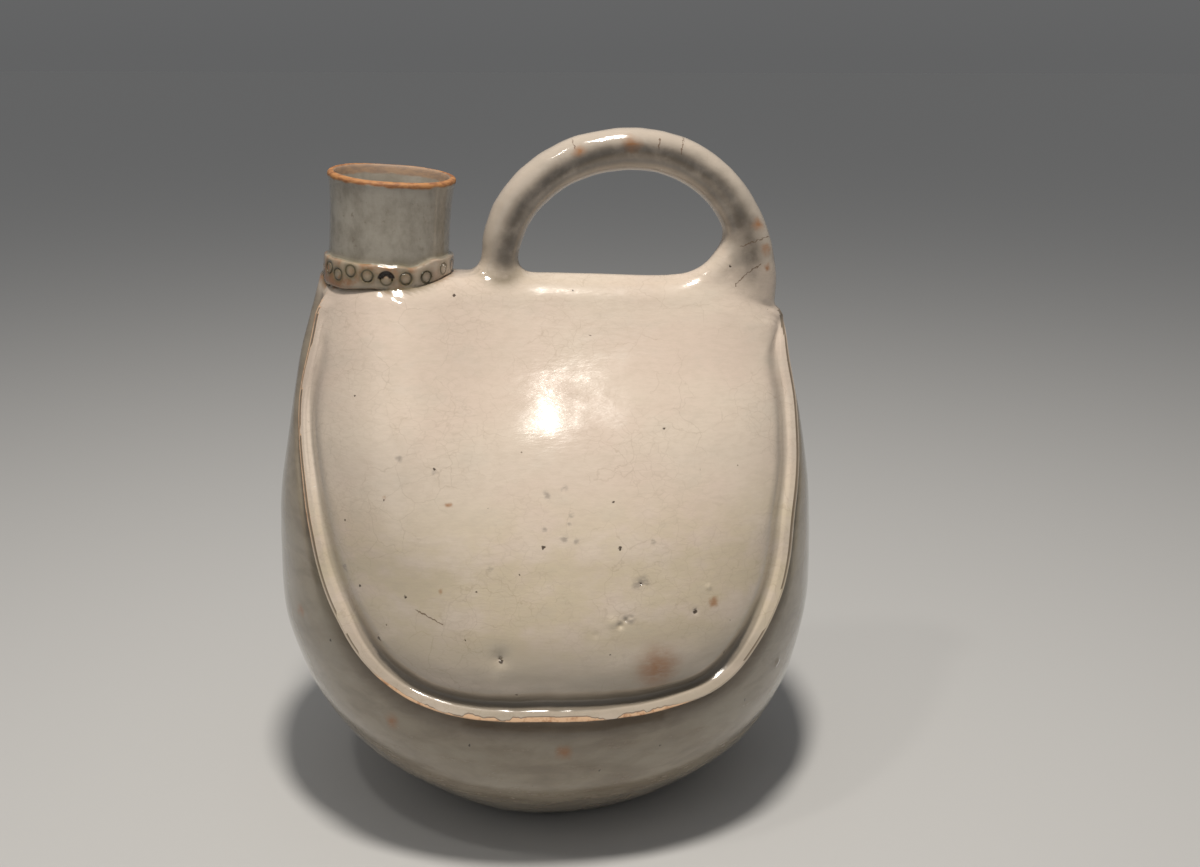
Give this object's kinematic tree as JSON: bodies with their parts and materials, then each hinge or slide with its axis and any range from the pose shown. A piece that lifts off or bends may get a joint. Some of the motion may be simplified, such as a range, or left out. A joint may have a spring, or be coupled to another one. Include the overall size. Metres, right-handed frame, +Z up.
{
  "type": "cockscomb flask",
  "caption": "Hollow glazed stoneware flask shaped like a sewn leather bag, with a round belly pinched to a ridge, a short neck with a stamped collar and a loop handle.",
  "frame": {"origin": "middle of the flat foot, on the surface that the flask stands on", "axes": "+Z up, neck toward -X and the handle's far root toward +X, front panel toward -Y"},
  "size_m": [0.229, 0.2016, 0.28],
  "materials": {
    "cream_glaze": "glossy cream-white glaze with fine crazing, rust-brown where it is thin at the rim and the seam"
  },
  "bodies": {
    "root": {"flask": "cream_glaze"}
  },
  "joints": []
}
